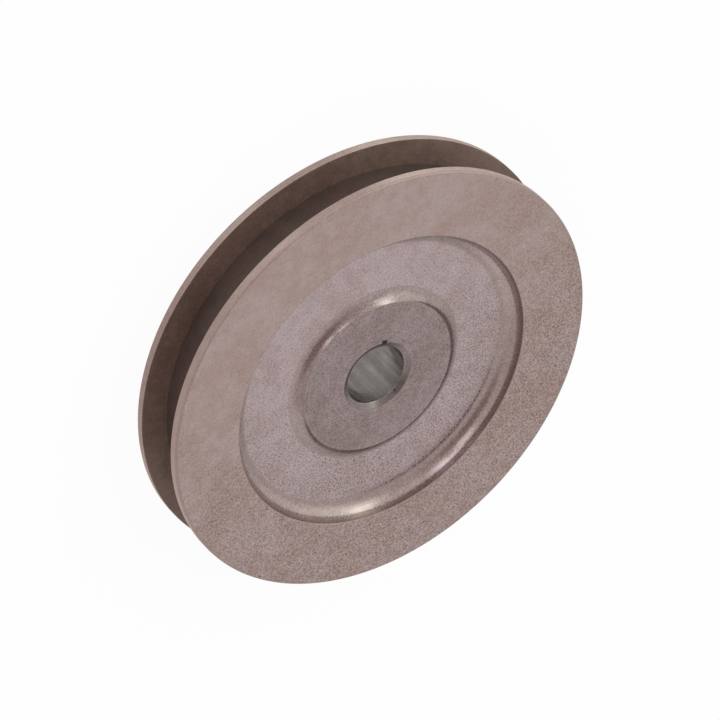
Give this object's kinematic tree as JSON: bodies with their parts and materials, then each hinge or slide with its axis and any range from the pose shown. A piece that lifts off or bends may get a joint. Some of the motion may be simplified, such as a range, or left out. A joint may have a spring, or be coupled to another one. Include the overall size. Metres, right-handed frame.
{
  "type": "drive pulley",
  "caption": "Flanged drive pulley in sintered iron with a flat-floored belt groove, a recessed web blended into rim and hub, and a countersunk plain bore.",
  "frame": {"origin": "on the shaft axis, in the plane of the back flange face", "axes": "+Z along the shaft axis towards the front face with the recessed hub; X and Y are radial"},
  "size_m": [0.1142, 0.1142, 0.0175],
  "materials": {
    "sintered_iron": "bare pressed and sintered iron, satin brownish grey with a fine pored grain, turned in the groove and bore"
  },
  "bodies": {
    "root": {"pulley": "sintered_iron"}
  },
  "joints": []
}
